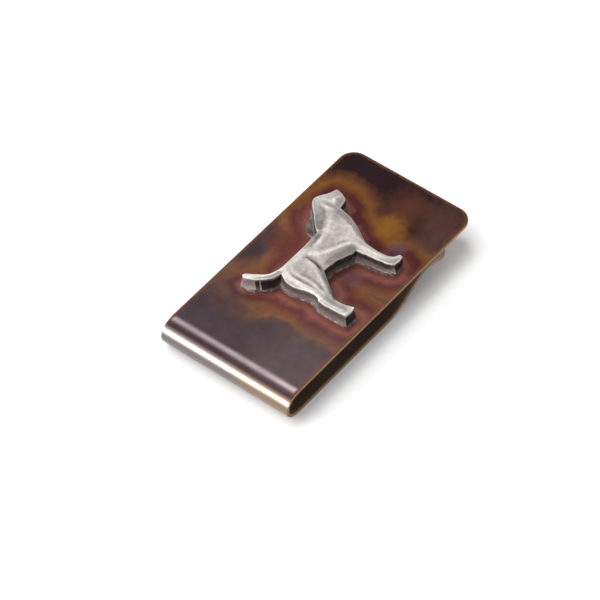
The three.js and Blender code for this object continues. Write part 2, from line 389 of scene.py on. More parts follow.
# Crests and hollows modelled in the casting's face: (forwards, up, height)
DOG_LINES = [
    # crest from the croup down the back of the thigh and the hind leg
    [(-6.1, 14.45, 2.75), (-6.5, 12.9, 2.9), (-6.7, 11.4, 2.95), (-6.65, 9.9, 2.92), (-6.5, 8.4, 2.84),
     (-6.75, 6.9, 2.74), (-7.2, 5.8, 2.68), (-7.32, 3.9, 2.64), (-7.2, 1.3, 2.7)],
    [(-6.0, 13.0, 2.78), (-6.05, 11.5, 2.76), (-6.05, 9.6, 2.74), (-6.2, 8.0, 2.68), (-6.6, 6.6, 2.58)],
    [(-5.6, 14.0, 2.8), (-5.6, 11.6, 2.92), (-5.4, 10.0, 2.94), (-5.35, 8.3, 2.86), (-5.85, 6.8, 2.72),
     (-6.25, 5.2, 2.58), (-6.5, 3.6, 2.45)],
    [(-4.8, 11.4, 2.74), (-4.7, 9.8, 2.72), (-4.85, 8.4, 2.64), (-5.3, 6.9, 2.52)],
    # front of the thigh, and the fold between it and the belly
    [(-1.85, 13.6, 2.76), (-1.78, 12.7, 2.86), (-1.85, 11.7, 2.94), (-2.25, 10.7, 2.95), (-2.85, 9.75, 2.9),
     (-3.4, 8.75, 2.82), (-4.05, 7.5, 2.7), (-4.75, 6.4, 2.58), (-5.4, 5.3, 2.48), (-6.0, 4.3, 2.4)],
    [(-1.3, 13.4, 2.62), (-1.3, 12.6, 2.52), (-1.35, 11.7, 2.42), (-1.6, 10.8, 2.34), (-1.85, 10.1, 2.3)],
    # crest from the flank to the elbow and down the foreleg, with a hollow above it
    [(-0.9, 13.9, 2.8), (-0.2, 13.0, 2.88), (0.35, 12.1, 2.96), (1.1, 11.5, 3.04), (2.1, 11.05, 3.08),
     (3.1, 10.55, 3.1), (4.1, 10.05, 3.1), (5.0, 9.6, 3.1), (5.7, 8.9, 3.06), (5.98, 8.0, 2.98),
     (6.05, 7.0, 2.9), (6.1, 5.7, 2.84), (6.3, 4.0, 2.78), (6.8, 2.7, 2.62), (7.7, 1.95, 2.3),
     (8.8, 1.8, 2.0)],
    [(1.4, 12.55, 2.78), (2.3, 12.0, 2.76), (3.3, 11.45, 2.76), (4.3, 10.95, 2.78), (5.3, 10.4, 2.84),
     (6.2, 9.7, 2.92)],
    [(0.35, 12.1, 2.96), (-0.2, 11.4, 2.82), (-0.6, 10.7, 2.68)],
    # line of the back, the hollow of the withers and the shoulder blade
    [(-4.6, 14.3, 2.82), (-2.4, 14.25, 2.84), (-0.6, 14.3, 2.8)],
    [(0.9, 14.3, 2.6), (2.4, 14.45, 2.58), (4.0, 14.7, 2.58)],
    [(1.6, 13.7, 2.84), (2.8, 13.95, 2.94), (3.5, 13.9, 2.98), (4.6, 13.3, 2.86)],
    # top of the shoulder, the hollow of the neck, and the point of the shoulder
    [(4.8, 14.45, 2.84), (5.8, 14.8, 2.94), (6.8, 15.0, 2.98), (7.7, 15.1, 2.92)],
    [(5.2, 15.5, 2.6), (6.4, 16.1, 2.58), (7.7, 16.5, 2.62), (8.6, 17.6, 2.68)],
    [(7.2, 14.0, 2.88), (7.6, 12.95, 3.0), (8.35, 11.8, 3.1), (8.05, 10.5, 3.04), (7.25, 9.0, 2.98),
     (6.85, 7.7, 2.84)],
    [(9.0, 13.1, 2.72), (9.6, 14.4, 2.66), (10.0, 15.6, 2.66)],
    # cheek and muzzle
    [(9.35, 18.8, 2.84), (9.55, 17.6, 2.98), (9.8, 16.4, 2.92)],
    [(10.4, 18.7, 2.78), (10.45, 17.6, 2.72), (10.5, 16.9, 2.72)],
    [(10.95, 17.2, 2.9), (11.6, 17.5, 2.96), (12.3, 17.4, 2.92), (13.0, 17.2, 2.84)],
    [(11.0, 19.2, 2.84), (12.0, 18.6, 2.84), (13.0, 18.2, 2.8)],
    # tail
    [(-10.55, 19.1, 2.5), (-9.95, 18.1, 2.62), (-9.3, 17.15, 2.7), (-8.65, 16.45, 2.74),
     (-7.75, 15.75, 2.78), (-6.7, 15.3, 2.82), (-5.9, 14.95, 2.84), (-5.2, 14.6, 2.88)],
]

# Strokes of painted shade, below 1, and painted highlight, above 1, on the casting's face: (lightness, half
# width, points)
DOG_PAINTED_SHADING = [
    (0.68, 1.25, [(5.7, 16.1), (6.9, 16.9), (8.1, 18.2)]),  # neck
    (0.84, 1.0, [(8.6, 15.2), (9.4, 15.9), (9.2, 19.2)]),  # throat and skull
    (0.72, 0.5, [(0.6, 14.9), (4.4, 14.95)]),  # withers
    (0.66, 0.8, [(10.3, 15.2), (9.95, 13.2), (9.15, 11.2), (8.0, 9.5)]),  # side of the chest
    (0.84, 1.0, [(2.2, 13.0), (5.2, 12.6), (7.4, 12.4)]),  # hollow of the shoulder
    (0.7, 0.75, [(-1.2, 9.9), (1.0, 9.6), (4.6, 8.5)]),  # belly
    (0.66, 0.5, [(-2.4, 9.3), (-3.9, 7.0), (-5.5, 4.5)]),  # front of the thigh
    (0.5, 0.28, [(-1.5, 12.4), (-1.65, 11.0), (-2.1, 9.8)]),  # fold before the thigh
    (0.84, 1.2, [(-4.0, 13.0), (-3.6, 10.4)]),  # middle of the thigh
    (0.8, 0.7, [(11.6, 18.8), (13.2, 18.3)]),  # muzzle
    (0.82, 0.4, [(-6.0, 13.2), (-6.05, 8.2), (-6.5, 6.4)]),  # behind the middle of the thigh
    (0.85, 0.5, [(-7.4, 5.6), (-7.4, 1.4)]),  # back of the shin
    (0.78, 0.4, [(4.3, 15.5), (6.05, 17.45), (7.9, 19.2), (9.3, 20.4)]),  # nape
    (0.84, 0.35, [(9.3, 20.4), (10.35, 20.5), (12.05, 19.5), (13.85, 18.85), (13.1, 16.45)]),  # brow, nose
    (0.86, 0.3, [(-3.8, 15.3), (4.15, 15.3)]),  # back
    (0.76, 0.4, [(-6.5, 5.6), (-6.55, 3.6), (-6.3, 1.6)]),  # inner side of the shin
    (0.8, 0.35, [(-7.4, 13.6), (-7.4, 11.2), (-7.0, 8.6)]),  # outer slope of the rump
    (0.8, 0.25, [(-6.55, 1.4), (-6.5, 0.8)]),  # between the toes
    # flank, elbow and foreleg
    (1.07, 0.5,
     [(-0.4, 13.6), (0.4, 12.4), (1.7, 11.6), (3.5, 10.7), (5.5, 9.6), (6.3, 7.4), (6.4, 4.0), (7.2, 2.3)]),
    (1.25, 0.3, [(9.45, 18.6), (9.55, 17.4), (9.7, 16.3)]),  # cheek
    (1.25, 0.3, [(11.1, 17.0), (11.6, 17.4)]),  # jaw
    (1.16, 0.35, [(7.6, 12.9), (8.35, 11.9)]),  # point of the shoulder
]

TAIL_WALL_HIGHLIGHT = (-9.7, 16.65)  # a painted highlight: a bright line runs down the wall under the tail here
# how little painted shade the wall keeps under that painted highlight
HIGHLIGHT_WALL_SHADE = 0.1
OUTLINE_STEP = 0.12
SPLINE_STEPS = 24  # between one given point and the next, before they are evened out
FACE_SPACING = 0.13
CAP_SPACING = 5.0
EDGE_CLEARANCE = 0.6  # shares of the spacing that points inside keep from the outline, and from lines
LINE_CLEARANCE = 0.7
WALL_LEVELS = 10
WALL_FLARE = 1.7  # how late the wall turns out towards its foot
WALL_START = 0.06  # share of the wall that its worn top edge stands for
EDGE_WEAR = 0.06
FIRST_HEIGHT = 2.5  # the face's height before it is solved for
SOLVER_ROUNDS = 900
SOLVED = 1e-10
SWELL = 0.04  # how strongly the face swells between the lines, per millimetre
SOFTENING = 6  # rounds of smoothing that wear the crests
THROWN_BACK = 0.985  # a moved point nearer than this share of the move is in a tight hollow


def spline(points, step=None, count=None):
    """Evenly spaced points on a Catmull-Rom curve through points, without the last one."""
    points = [np.array(p, float) for p in points]
    padded = [2 * points[0] - points[1], *points, 2 * points[-1] - points[-2]]
    dense = []
    for a, b, c, d in zip(padded, padded[1:], padded[2:], padded[3:]):
        for t in np.linspace(0, 1, SPLINE_STEPS, endpoint=False):
            dense.append(0.5 * (2 * b + (c - a) * t + (2 * a - 5 * b + 4 * c - d) * t**2
                                + (3 * b - a - 3 * c + d) * t**3))
    dense = np.array(dense + [points[-1]])
    run = np.concatenate([[0], np.cumsum(np.linalg.norm(np.diff(dense[:, :2], axis=0), axis=1))])
    count = count or max(1, round(run[-1] / step))
    stops = np.linspace(0, run[-1], count + 1)[:-1]
    return np.stack([np.interp(stops, run, dense[:, k]) for k in range(dense.shape[1])], axis=1)


def dog_outline(step=OUTLINE_STEP):
    """(top edge, foot of the wall, painted shade on the wall), with the last two under every edge point."""
    edges = [spline(edge, step) for _, edge, _ in DOG_OUTLINE]
    feet = [spline(foot, count=len(edge)) for edge, (_, _, foot) in zip(edges, DOG_OUTLINE)]
    edge, foot = np.concatenate(edges), np.concatenate(feet)
    dark = np.concatenate([np.full(len(part), stretch[0]) for part, stretch in zip(edges, DOG_OUTLINE)])
    # The painted highlight down the wall under the tail
    dark[np.linalg.norm(edge[:, :2] - TAIL_WALL_HIGHLIGHT, axis=1) < step] = HIGHLIGHT_WALL_SHADE
    return edge, foot, dark


def outward_normals(outline, reach=2):
    """Unit normals pointing out of a closed clockwise outline, averaged over reach points each way."""
    along = np.roll(outline, -reach, axis=0) - np.roll(outline, reach, axis=0)
    normals = np.stack([-along[:, 1], along[:, 0]], axis=1)
    return normals / np.linalg.norm(normals, axis=1, keepdims=True)


def spread(outline, distance):
    """The outline moved outwards. Points thrown back by a tight hollow are drawn along its floor."""
    moved = outline + outward_normals(outline) * distance
    clearance = distance_to_lines(moved, outline, np.roll(outline, -1, axis=0))
    lost = clearance < distance * THROWN_BACK
    lost |= np.roll(lost, 1) | np.roll(lost, -1)
    places = np.arange(len(outline))
    kept = places[~lost]
    for axis in range(2):
        moved[:, axis] = np.interp(places, kept, moved[kept, axis], period=len(outline))
    return moved


def distance_to_lines(points, starts, ends):
    """Distance from each point to the nearest of many segments."""
    best = np.full(len(points), 1e9)
    for a, b in zip(starts, ends):
        along = b - a
        t = np.clip((points - a) @ along / max(along @ along, 1e-12), 0, 1)
        best = np.minimum(best, np.linalg.norm(points - a - t[:, None] * along, axis=1))
    return best


def inside(points, outline):
    """Whether each point is inside a closed outline."""
    result = np.zeros(len(points), bool)
    for a, b in zip(outline, np.roll(outline, -1, axis=0)):
        if a[1] == b[1]:
            continue
        crosses = (a[1] > points[:, 1]) != (b[1] > points[:, 1])
        x = a[0] + (points[:, 1] - a[1]) * (b[0] - a[0]) / (b[1] - a[1])
        result ^= crosses & (points[:, 0] < x)
    return result


def face_heights(triangles, known, count, border):
    """Heights over the casting's face: a sheet swollen between the known heights, a dictionary by point."""
    edges = np.concatenate([triangles[:, [0, 1]], triangles[:, [1, 2]], triangles[:, [2, 0]]])
    edges = np.unique(np.sort(edges, axis=1), axis=0)
    starts, ends = edges.T
    degree = np.bincount(edges.ravel(), minlength=count)
    fixed = np.zeros(count, bool)
    height = np.full(count, FIRST_HEIGHT)
    for place, value in known.items():
        fixed[place] = True
        height[place] = value
    free = ~fixed

    def pull(values):
        pulled = degree * values - np.bincount(starts, values[ends], count)
        return pulled - np.bincount(ends, values[starts], count)

    # On a triangular grid the six neighbours pull with 1.5 times the curvature times the spacing squared
    swelling = SWELL * FACE_SPACING**2 * 1.5
    rest = np.where(free, swelling - pull(height), 0)
    search = rest.copy()
    size = rest @ rest
    for _ in range(SOLVER_ROUNDS):
        if size < SOLVED:
            break
        response = np.where(free, pull(search), 0)
        step = size / (search @ response)
        height = height + step * search
        rest = rest - step * response
        size, before = rest @ rest, size
        search = rest + size / before * search
    inner = np.arange(count) >= border
    for _ in range(SOFTENING):
        height = height - np.where(inner, 0.5 * pull(height) / np.maximum(degree, 1), 0)
    return height


def fill_outline(outline, spacing, lines=np.zeros((0, 2))):
    """Triangles over a closed outline: (points, triangles), with the outline's points first, then lines'."""
    low, high = outline.min(0), outline.max(0)
    rows = np.arange(low[1], high[1], spacing * math.sqrt(3) / 2)
    grid = np.array([(u + (i % 2) * spacing / 2, v) for i, v in enumerate(rows)
                     for u in np.arange(low[0], high[0], spacing)])
    grid = grid[inside(grid, outline)]
    nearest = distance_to_lines(grid, outline, np.roll(outline, -1, axis=0))
    grid = grid[nearest > spacing * EDGE_CLEARANCE]
    for point in lines:
        grid = grid[np.linalg.norm(grid - point, axis=1) > spacing * LINE_CLEARANCE]
    points = np.concatenate([outline, lines, grid])
    border = [(i, (i + 1) % len(outline)) for i in range(len(outline))]
    places = [Vector(p) for p in points]
    _, _, triangles, origins, _, _ = delaunay_2d_cdt(places, border, [], 0, 1e-6, True)
    triangles = np.array([[origins[i][0] for i in triangle] for triangle in triangles])
    return points, triangles[inside(points[triangles].mean(axis=1), outline)]


def place_on_plate(points, heights, base):
    """Dog coordinates to the frame: forwards is +Y, up is -X."""
    return np.stack([DOG_GROUND_X - points[:, 1], DOG_MIDDLE_Y + points[:, 0], base + heights], axis=1)


def line_points(outline):
    """Points along the modelled lines, leaving out any too near to the edge or to each other."""
    kept = []
    for line in DOG_LINES:
        for point in spline(line, OUTLINE_STEP):
            apart = np.linalg.norm(np.array(kept + [(99, 99, 0)])[:, :2] - point[:2], axis=1).min()
            clear = np.linalg.norm(outline[:, :2] - point[:2], axis=1).min()
            if min(apart, clear) > EDGE_CLEARANCE * OUTLINE_STEP:
                kept.append(point)
    return np.array(kept)


def band(ring, following):
    """Faces between two closed rings of vertex numbers."""
    corners = zip(ring, ring[1:] + ring[:1], following[1:] + following[:1], following)
    return [list(face) for face in corners]


def cap(outline, ring):
    """Triangles over a flat outline numbered by ring. Those that touch an inside point are left out."""
    _, triangles = fill_outline(outline, CAP_SPACING)
    return [[ring[i] for i in triangle] for triangle in triangles if max(triangle) < len(ring)]


def make_dog(base):
    edge, foot, dark = dog_outline()
    lines = line_points(edge)
    points, triangles = fill_outline(edge[:, :2], FACE_SPACING, lines[:, :2])
    given = np.concatenate([edge[:, 2], lines[:, 2]])
    heights = face_heights(triangles, dict(enumerate(given)), len(points), len(edge))
    count = len(edge)
    vertices = [place_on_plate(points, heights, base)]
    faces = [list(t) for t in triangles]
    down_wall = [np.zeros(len(points))]
    ring = list(range(count))
    total = len(points)
    crest_share = edge[:, :2] + outward_normals(edge[:, :2]) * EDGE_WEAR
    for level in range(WALL_LEVELS + 1):
        share = level / WALL_LEVELS
        lower = crest_share + (foot - crest_share) * share**WALL_FLARE
        height = (edge[:, 2] - EDGE_WEAR) * (1 - share)
        vertices.append(place_on_plate(lower, height, base))
        down_wall.append(np.full(count, WALL_START + (1 - WALL_START) * share))
        below = list(range(total, total + count))
        total += count
        faces += band(ring, below)
        ring = below
    faces += [face[::-1] for face in cap(foot, ring)]
    dog = make_object("dog_relief", np.concatenate(vertices), faces, smooth_angle=50)
    store_number(dog, "down_wall", np.concatenate(down_wall))
    rings = WALL_LEVELS + 1
    store_number(dog, "wall_dark", np.concatenate([np.zeros(len(points)), *[dark] * rings]))
    # Painted shade and highlight from the strokes
    store_number(dog, "tone", dog_tone(np.concatenate([points, *[edge[:, :2]] * rings])))
    store_number(dog, "ridge", ridge_share(dog))
    return dog


def raggedness(points, coarse, fine, fine_share):
    """Noise at each point, from two octaves given as (bumps per millimetre, slice through the noise)."""

    def octave(point, bumps, level):
        return noise.noise(Vector((*(point * bumps), level)))

    return np.array([octave(p, *coarse) + fine_share * octave(p, *fine) for p in points])


def dog_tone(points):
    """The painted shade and highlight at each dog coordinate, from the painted strokes listed for the dog,
    with ragged borders.
    """
    ragged = raggedness(points, (1.3, 5.1), (3.3, 1.7), 0.6)
    tone = np.ones(len(points))
    for amount, half_width, line in DOG_PAINTED_SHADING:
        line = np.array(line)
        off = distance_to_lines(points, line[:-1], line[1:]) / half_width + 0.2 * ragged
        tone *= 1 + (amount - 1) * (1 - smooth_step(off, 0.6, 1.3))
    return tone


def ridge_share(obj, rounds=14, gain=5.0):
    """0 in hollows, 0.5 on even ground and 1 on crests: each vertex against its smoothed neighbourhood."""
    places = rest_places(obj)
    edges = np.array([e.vertices for e in obj.data.edges])
    normals = np.array([v.normal for v in obj.data.vertices])
    count = np.bincount(edges.ravel(), minlength=len(places))[:, None]
    smooth = places
    for _ in range(rounds):
        total = np.zeros_like(places)
        np.add.at(total, edges[:, 0], smooth[edges[:, 1]])
        np.add.at(total, edges[:, 1], smooth[edges[:, 0]])
        smooth = 0.5 * smooth + 0.5 * total / count
    return np.clip(0.5 + gain * np.sum((places - smooth) * normals, axis=1), 0, 1)


SOLDER_THICKNESS = 0.15
SOLDER_SPREAD = 0.2
SOLDER_CLIMB = 0.28
SOLDER_POOL = (6.4, 18.2)  # the solder bank spreads out wider behind the neck
POOL_SPREAD = 0.9
POOL_RADII = (0.8, 2.6)  # full out to the first, gone at the second


def solder_rings(foot):
    """(outline, heights) of the solder's bank, from its toe on the plate up to the casting's foot."""
    ragged = raggedness(foot, (1.7, 0.3), (4.1, 2.3), 0.5)
    pool = POOL_SPREAD * (1 - smooth_step(np.linalg.norm(foot - SOLDER_POOL, axis=1), *POOL_RADII))
    out = outward_normals(foot)
    toe = spread(foot, SOLDER_SPREAD) + out * (0.13 * ragged + pool)[:, None]
    middle = spread(foot, SOLDER_SPREAD * 0.35) + out * (0.6 * pool)[:, None]
    inner = foot - out * 0.1
    climb = SOLDER_THICKNESS + SOLDER_CLIMB * (0.7 + 0.5 * ragged)
    blunt = np.full(len(foot), 0.3 * SOLDER_THICKNESS)
    return [(toe, np.zeros(len(foot))), (toe - out * 0.05, blunt), (middle, 0.45 * climb), (inner, climb)]


def make_solder():
    """The solder under the casting and its rough fillet: a low, uneven bank around the casting's foot."""
    foot = dog_outline()[1]
    outlines = solder_rings(foot)
    vertices = [place_on_plate(outline, heights, PLATE_TOP) for outline, heights in outlines]
    rings = [list(range(level * len(foot), (level + 1) * len(foot))) for level in range(len(outlines))]
    faces = []
    for ring, following in zip(rings, rings[1:]):
        faces += band(ring, following)
    faces += cap(outlines[0][0], rings[0])
    faces += cap(outlines[-1][0], rings[-1])
    return make_object("solder_fillet", np.concatenate(vertices), faces)


# ---------------------------------------------------------------- materials

def srgb(red, green, blue):
    """A colour given as 0-255 screen values, as linear light."""
    linear = []
    for value in (red, green, blue):
        v = value / 255
        linear.append(v / 12.92 if v <= 0.04045 else ((v + 0.055) / 1.055) ** 2.4)
    return (*linear, 1.0)


class Nodes:
    """The node tree of a material or a world. Inputs take a number, a colour or another node's output."""

    def __init__(self, owner):
        owner.use_nodes = True
        self.owner = owner
        self.tree = owner.node_tree

    def add(self, kind, output=0, settings=None, **inputs):
        node = self.tree.nodes.new(kind)
        for key, value in (settings or {}).items():
            setattr(node, key, value)
        for key, value in inputs.items():
            self.feed(node, key.replace("_", " "), value)
        return node.outputs[output]

    def feed(self, node, key, value):
        if key.startswith("in"):
            socket = node.inputs[int(key[2:])]
        else:
            socket = node.inputs[key]
        if isinstance(value, bpy.types.NodeSocket):
            self.tree.links.new(value, socket)
        else:
            socket.default_value = value

    def finish(self, shader="Principled BSDF", **inputs):
        for key, value in inputs.items():
            self.feed(self.tree.nodes[shader], key.replace("_", " "), value)
        return self.owner

    def attribute(self, name, output="Fac"):
        node = self.tree.nodes.new("ShaderNodeAttribute")
        node.attribute_name = name
        return node.outputs[output]

    def noise(self, scale, detail=3.0, roughness=0.5, stretch=(1, 1, 1)):
        """Noise over the rest place, with scale in bumps per millimetre."""
        places = self.add("ShaderNodeVectorMath", settings={"operation": "MULTIPLY"},
                          in0=self.attribute("rest_mm", "Vector"), in1=stretch)
        return self.add("ShaderNodeTexNoise", Vector=places, Scale=scale, Detail=detail, Roughness=roughness)

    def maths(self, operation, a, b=0.0, clamp=False):
        settings = {"operation": operation, "use_clamp": clamp}
        return self.add("ShaderNodeMath", settings=settings, in0=a, in1=b)

    def plus(self, a, b):
        return self.maths("ADD", a, b)

    def minus(self, a, b):
        return self.maths("SUBTRACT", a, b)

    def times(self, a, b):
        return self.maths("MULTIPLY", a, b)

    def separate(self, vector):
        node = self.tree.nodes.new("ShaderNodeSeparateXYZ")
        self.feed(node, "in0", vector)
        return node.outputs

    def span(self, value, low, high, start=0.0, end=1.0):
        """value from low..high, eased, to start..end."""
        node = self.tree.nodes.new("ShaderNodeMapRange")
        node.interpolation_type = "SMOOTHSTEP"
        for index, number in enumerate((value, low, high, start, end)):
            self.feed(node, f"in{index}", number)
        return node.outputs[0]

    def ramp(self, factor, stops):
        """Colour ramp through stops of (position, colour)."""
        node = self.tree.nodes.new("ShaderNodeValToRGB")
        elements = node.color_ramp.elements
        while len(elements) < len(stops):
            elements.new(0.5)
        for element, (position, colour) in zip(elements, stops):
            element.position = position
            element.color = colour
        self.feed(node, "in0", factor)
        return node.outputs[0]

    def mix(self, factor, a, b, blend="MIX"):
        node = self.tree.nodes.new("ShaderNodeMix")
        node.data_type = "RGBA"
        node.blend_type = blend
        self.feed(node, "in0", factor)
        self.feed(node, "in6", a)
        self.feed(node, "in7", b)
        return node.outputs[2]

    def bump(self, height, distance, strength=1.0):
        return self.add("ShaderNodeBump", Height=height, Distance=distance, Strength=strength)


HALO_REACH = 8.0  # the flame colours run out this far from the casting
TAIL_TIP = (-10.8, 18.8)  # they run out sooner round here
TAIL_RADII = (2.0, 7.0)
TAIL_SQUEEZE = 0.9
# Painted shade on the faces that look into the gap between the legs
INSIDE_SHADE = 0.7
PATINA_FADE = (28, 58)  # degrees round the bend, from the front, over which the patina was polished off
# Degrees round the bend over which a painted reflection of the shaded floor darkens its underside
SHADED_FLOOR_RISE = (58, 76)

# Flame colours by distance from the casting, in millimetres: towards the bend, and towards the tip
HALO_BY_BEND = [
    (0.4, (126, 74, 64)),
    (1.3, (140, 87, 76)),
    (2.0, (118, 69, 61)),
    (2.8, (98, 49, 45)),
    (4.0, (116, 70, 50)),
    (5.0, (124, 82, 54)),
    (6.0, (86, 62, 56)),
    (7.2, (69, 55, 60)),
]
HALO_BY_TIP = [
    (0.3, (128, 76, 70)),
    (0.8, (126, 72, 66)),
    (1.5, (88, 38, 40)),
    (2.5, (84, 36, 36)),
    (3.2, (108, 62, 34)),
    (4.2, (124, 79, 34)),
    (5.4, (94, 55, 34)),
    (7.2, (40, 21, 25)),
]

# Patches of heat colour, and one of painted reflection: (x, y, radius, amount, colour)
HEAT_AND_SHEEN_SPOTS = [
    (-12.6, 11.4, 3.6, 0.6, (126, 80, 36)),
    (-7.6, 18.2, 3.2, 0.3, (124, 76, 34)),
    (3.4, 19.6, 6.4, 0.75, (98, 56, 39)),
    (3.4, 14.9, 4.4, 0.75, (148, 97, 34)),
    (-10.0, -14.0, 9.0, 0.6, (60, 47, 55)),
    (10.6, 20.6, 7.5, 0.85, (86, 55, 48)),
    (10.8, 16.0, 4.4, 0.6, (86, 60, 58)),
    (8.4, 0.2, 1.8, 0.4, (130, 70, 46)),
    (4.9, 1.9, 2.2, 0.6, (116, 78, 82)),
    (7.6, 11.8, 2.0, 0.6, (104, 80, 86)),
    (-12.4, -3.4, 4.2, 0.75, (54, 43, 49)),
    (-9.6, 1.2, 4.4, 0.6, (96, 52, 43)),
    (-5.5, 2.0, 7.5, 0.7, (102, 50, 43)),
    # painted reflection: the plate lighter towards the bend, where it mirrors a brighter sky
    (10.0, -19.0, 13.0, 0.6, (98, 83, 84)),
]


def halo_ramp(m, reach, stops):
    share = m.maths("DIVIDE", reach, HALO_REACH, clamp=True)
    return m.ramp(share, [(mm / HALO_REACH, srgb(*tint)) for mm, tint in stops])


def strip_material():
    m = Nodes(bpy.data.materials.new("strip_metal"))
    drift = m.minus(m.noise(0.22, 4.0), 0.5)
    flicker = m.minus(m.noise(0.75, 6.0, 0.62), 0.5)
    reach = m.plus(m.attribute("halo_mm"), m.times(drift, 1.8))
    reach = m.plus(reach, m.times(flicker, 1.5))
    places = m.attribute("rest_mm", "Vector")
    side, along, _ = m.separate(places)
    towards_tip = m.span(m.plus(along, m.times(drift, 6.0)), 5.0, 11.0)
    colour = m.mix(towards_tip, halo_ramp(m, reach, HALO_BY_BEND), halo_ramp(m, reach, HALO_BY_TIP))
    clear = m.span(m.attribute("halo_mm"), 0.1, 1.4)
    for x, y, radius, amount, tint in HEAT_AND_SHEEN_SPOTS:
        offset = m.add("ShaderNodeVectorMath", settings={"operation": "DISTANCE"}, output=1,
                       in0=places, in1=(x, y, PLATE_TOP))
        wander = m.plus(m.times(drift, 6.0), m.times(flicker, 2.5))
        warped = m.plus(offset, wander)
        weight = m.times(m.span(warped, radius, radius * 0.2, 0.0, amount), clear)
        colour = m.mix(weight, colour, srgb(*tint))
    edge = m.plus(m.attribute("edge_mm"), m.times(flicker, 0.9))
    colour = m.mix(m.span(edge, 0.9, 0.1, 0.0, 0.6), colour, srgb(126, 80, 46))
    mottle = m.ramp(m.noise(0.55, 6.0, 0.65), [(0.3, (0.82, 0.81, 0.82, 1)), (0.7, (1.06, 1.04, 1.02, 1))])
    flamed = m.mix(1.0, colour, mottle, "MULTIPLY")
    round_bend = m.span(along, BEND_END - 0.9, BEND_END - 1.7)
    flamed = m.mix(round_bend, flamed, srgb(72, 44, 42))

    warmth = m.span(m.plus(side, m.times(drift, 18.0)), -6.0, 12.0)
    bare = m.mix(warmth, srgb(200, 187, 183), srgb(198, 178, 160))
    # Painted shade: darker metal inside the clip and all over the back leg, and a painted reflection of the
    # shaded floor under the bend
    tarnished = m.mix(warmth, srgb(113, 105, 103), srgb(138, 115, 96))
    bare = m.mix(m.attribute("tarnish"), bare, tarnished)
    bare = m.mix(m.attribute("rim"), bare, srgb(132, 98, 62))
    colour = m.mix(m.attribute("patina"), bare, flamed)
    scratches = m.noise(1.6, 4.0, 0.6, (1.0, 0.06, 1.0))
    smudges = m.noise(0.25, 3.0)
    rough_patina = m.span(smudges, 0.3, 0.75, 0.16, 0.24)
    rough_bare = m.span(smudges, 0.3, 0.75, 0.14, 0.26)
    roughness = m.add("ShaderNodeMix", in0=m.attribute("patina"), in2=rough_bare, in3=rough_patina)
    roughness = m.add("ShaderNodeMix", in0=m.attribute("inside"), in2=roughness, in3=0.45)
    metallic = m.minus(1.0, m.times(m.attribute("patina"), 0.6))
    relief = m.plus(m.times(scratches, 0.4), m.noise(1.2, 2.0))
    return m.finish(Base_Color=colour, Metallic=metallic, Roughness=roughness, Specular_IOR_Level=0.12,
                    Coat_Weight=0.28, Coat_Roughness=0.12, Normal=m.bump(relief, 0.004 * MM, 0.3))


def pewter_material():
    m = Nodes(bpy.data.materials.new("cast_pewter"))
    grain = m.noise(1.7, 6.0, 0.62)
    blotch = m.noise(0.6, 3.0)
    # Painted highlight on the crests and painted shade in the hollows, roughened by the grain
    crest_share = m.plus(m.attribute("ridge"), m.times(m.minus(grain, 0.5), 0.4))
    colour = m.ramp(crest_share, [
        (0.0, srgb(92, 84, 82)),
        (0.3, srgb(158, 151, 147)),
        (0.52, srgb(198, 191, 186)),
        (0.9, srgb(228, 222, 217)),
    ])
    # Painted shade on the casting's walls: darkest just under the edge, lighter towards the foot
    ragged = m.plus(m.noise(0.8, 4.0, 0.6), m.times(grain, 0.6))
    ragged = m.minus(ragged, 0.8)
    dark = m.attribute("wall_dark")
    down = m.plus(m.attribute("down_wall"), m.times(ragged, 0.5))
    down = m.maths("DIVIDE", down, m.maths("MAXIMUM", dark, 1.0))
    wall = m.ramp(down, [
        (0.0, (1, 1, 1, 1)),
        (0.07, (0.95, 0.93, 0.93, 1)),
        (0.2, (0.13, 0.11, 0.12, 1)),
        (0.45, (0.16, 0.13, 0.14, 1)),
        (0.62, (0.42, 0.4, 0.41, 1)),
        (0.86, (0.5, 0.48, 0.49, 1)),
        (0.97, (0.88, 0.86, 0.86, 1)),
    ])
    # Walls with painted shade above 1 are darkened further
    wall = m.mix(m.maths("SUBTRACT", dark, 1.0, clamp=True), wall, m.mix(1.0, wall, wall, "MULTIPLY"))
    mottle = m.ramp(m.noise(2.4, 5.0, 0.65), [(0.35, (0.72, 0.71, 0.71, 1)), (0.65, (1.25, 1.24, 1.23, 1))])
    wall = m.mix(1.0, wall, mottle, "MULTIPLY")
    # Walls with little painted shade are painted pale grey, as if lit
    wall = m.mix(m.maths("MINIMUM", dark, 1.0), (0.8, 0.78, 0.78, 1), wall)
    wall = m.mix(m.span(m.attribute("down_wall"), 0.0, 0.12), (1, 1, 1, 1), wall)
    # Painted shade and highlight from the strokes, with blotches and grain in the metal
    tone = m.times(m.attribute("tone"), m.span(blotch, 0.3, 0.7, 0.95, 1.03))
    tone = m.times(tone, m.span(grain, 0.3, 0.7, 0.95, 1.04))
    colour = m.mix(1.0, colour, wall, "MULTIPLY")
    colour = m.mix(1.0, colour, m.add("ShaderNodeCombineColor", in0=tone, in1=tone, in2=tone), "MULTIPLY")
    roughness = m.span(crest_share, 0.2, 0.9, 0.6, 0.42)
    relief = m.plus(grain, m.times(m.noise(1.1, 4.0), 0.8))
    normal = m.bump(relief, 0.04 * MM, 0.8)
    return m.finish(Base_Color=colour, Metallic=0.8, Roughness=roughness, Normal=normal)


def solder_material():
    m = Nodes(bpy.data.materials.new("dark_solder"))
    grain = m.noise(1.3, 4.0, 0.6)
    colour = m.ramp(grain, [(0.3, srgb(62, 53, 52)), (0.55, srgb(108, 99, 96)), (0.75, srgb(170, 161, 155))])
    return m.finish(Base_Color=colour, Metallic=0.7, Roughness=0.6, Normal=m.bump(grain, 0.06 * MM, 0.8))


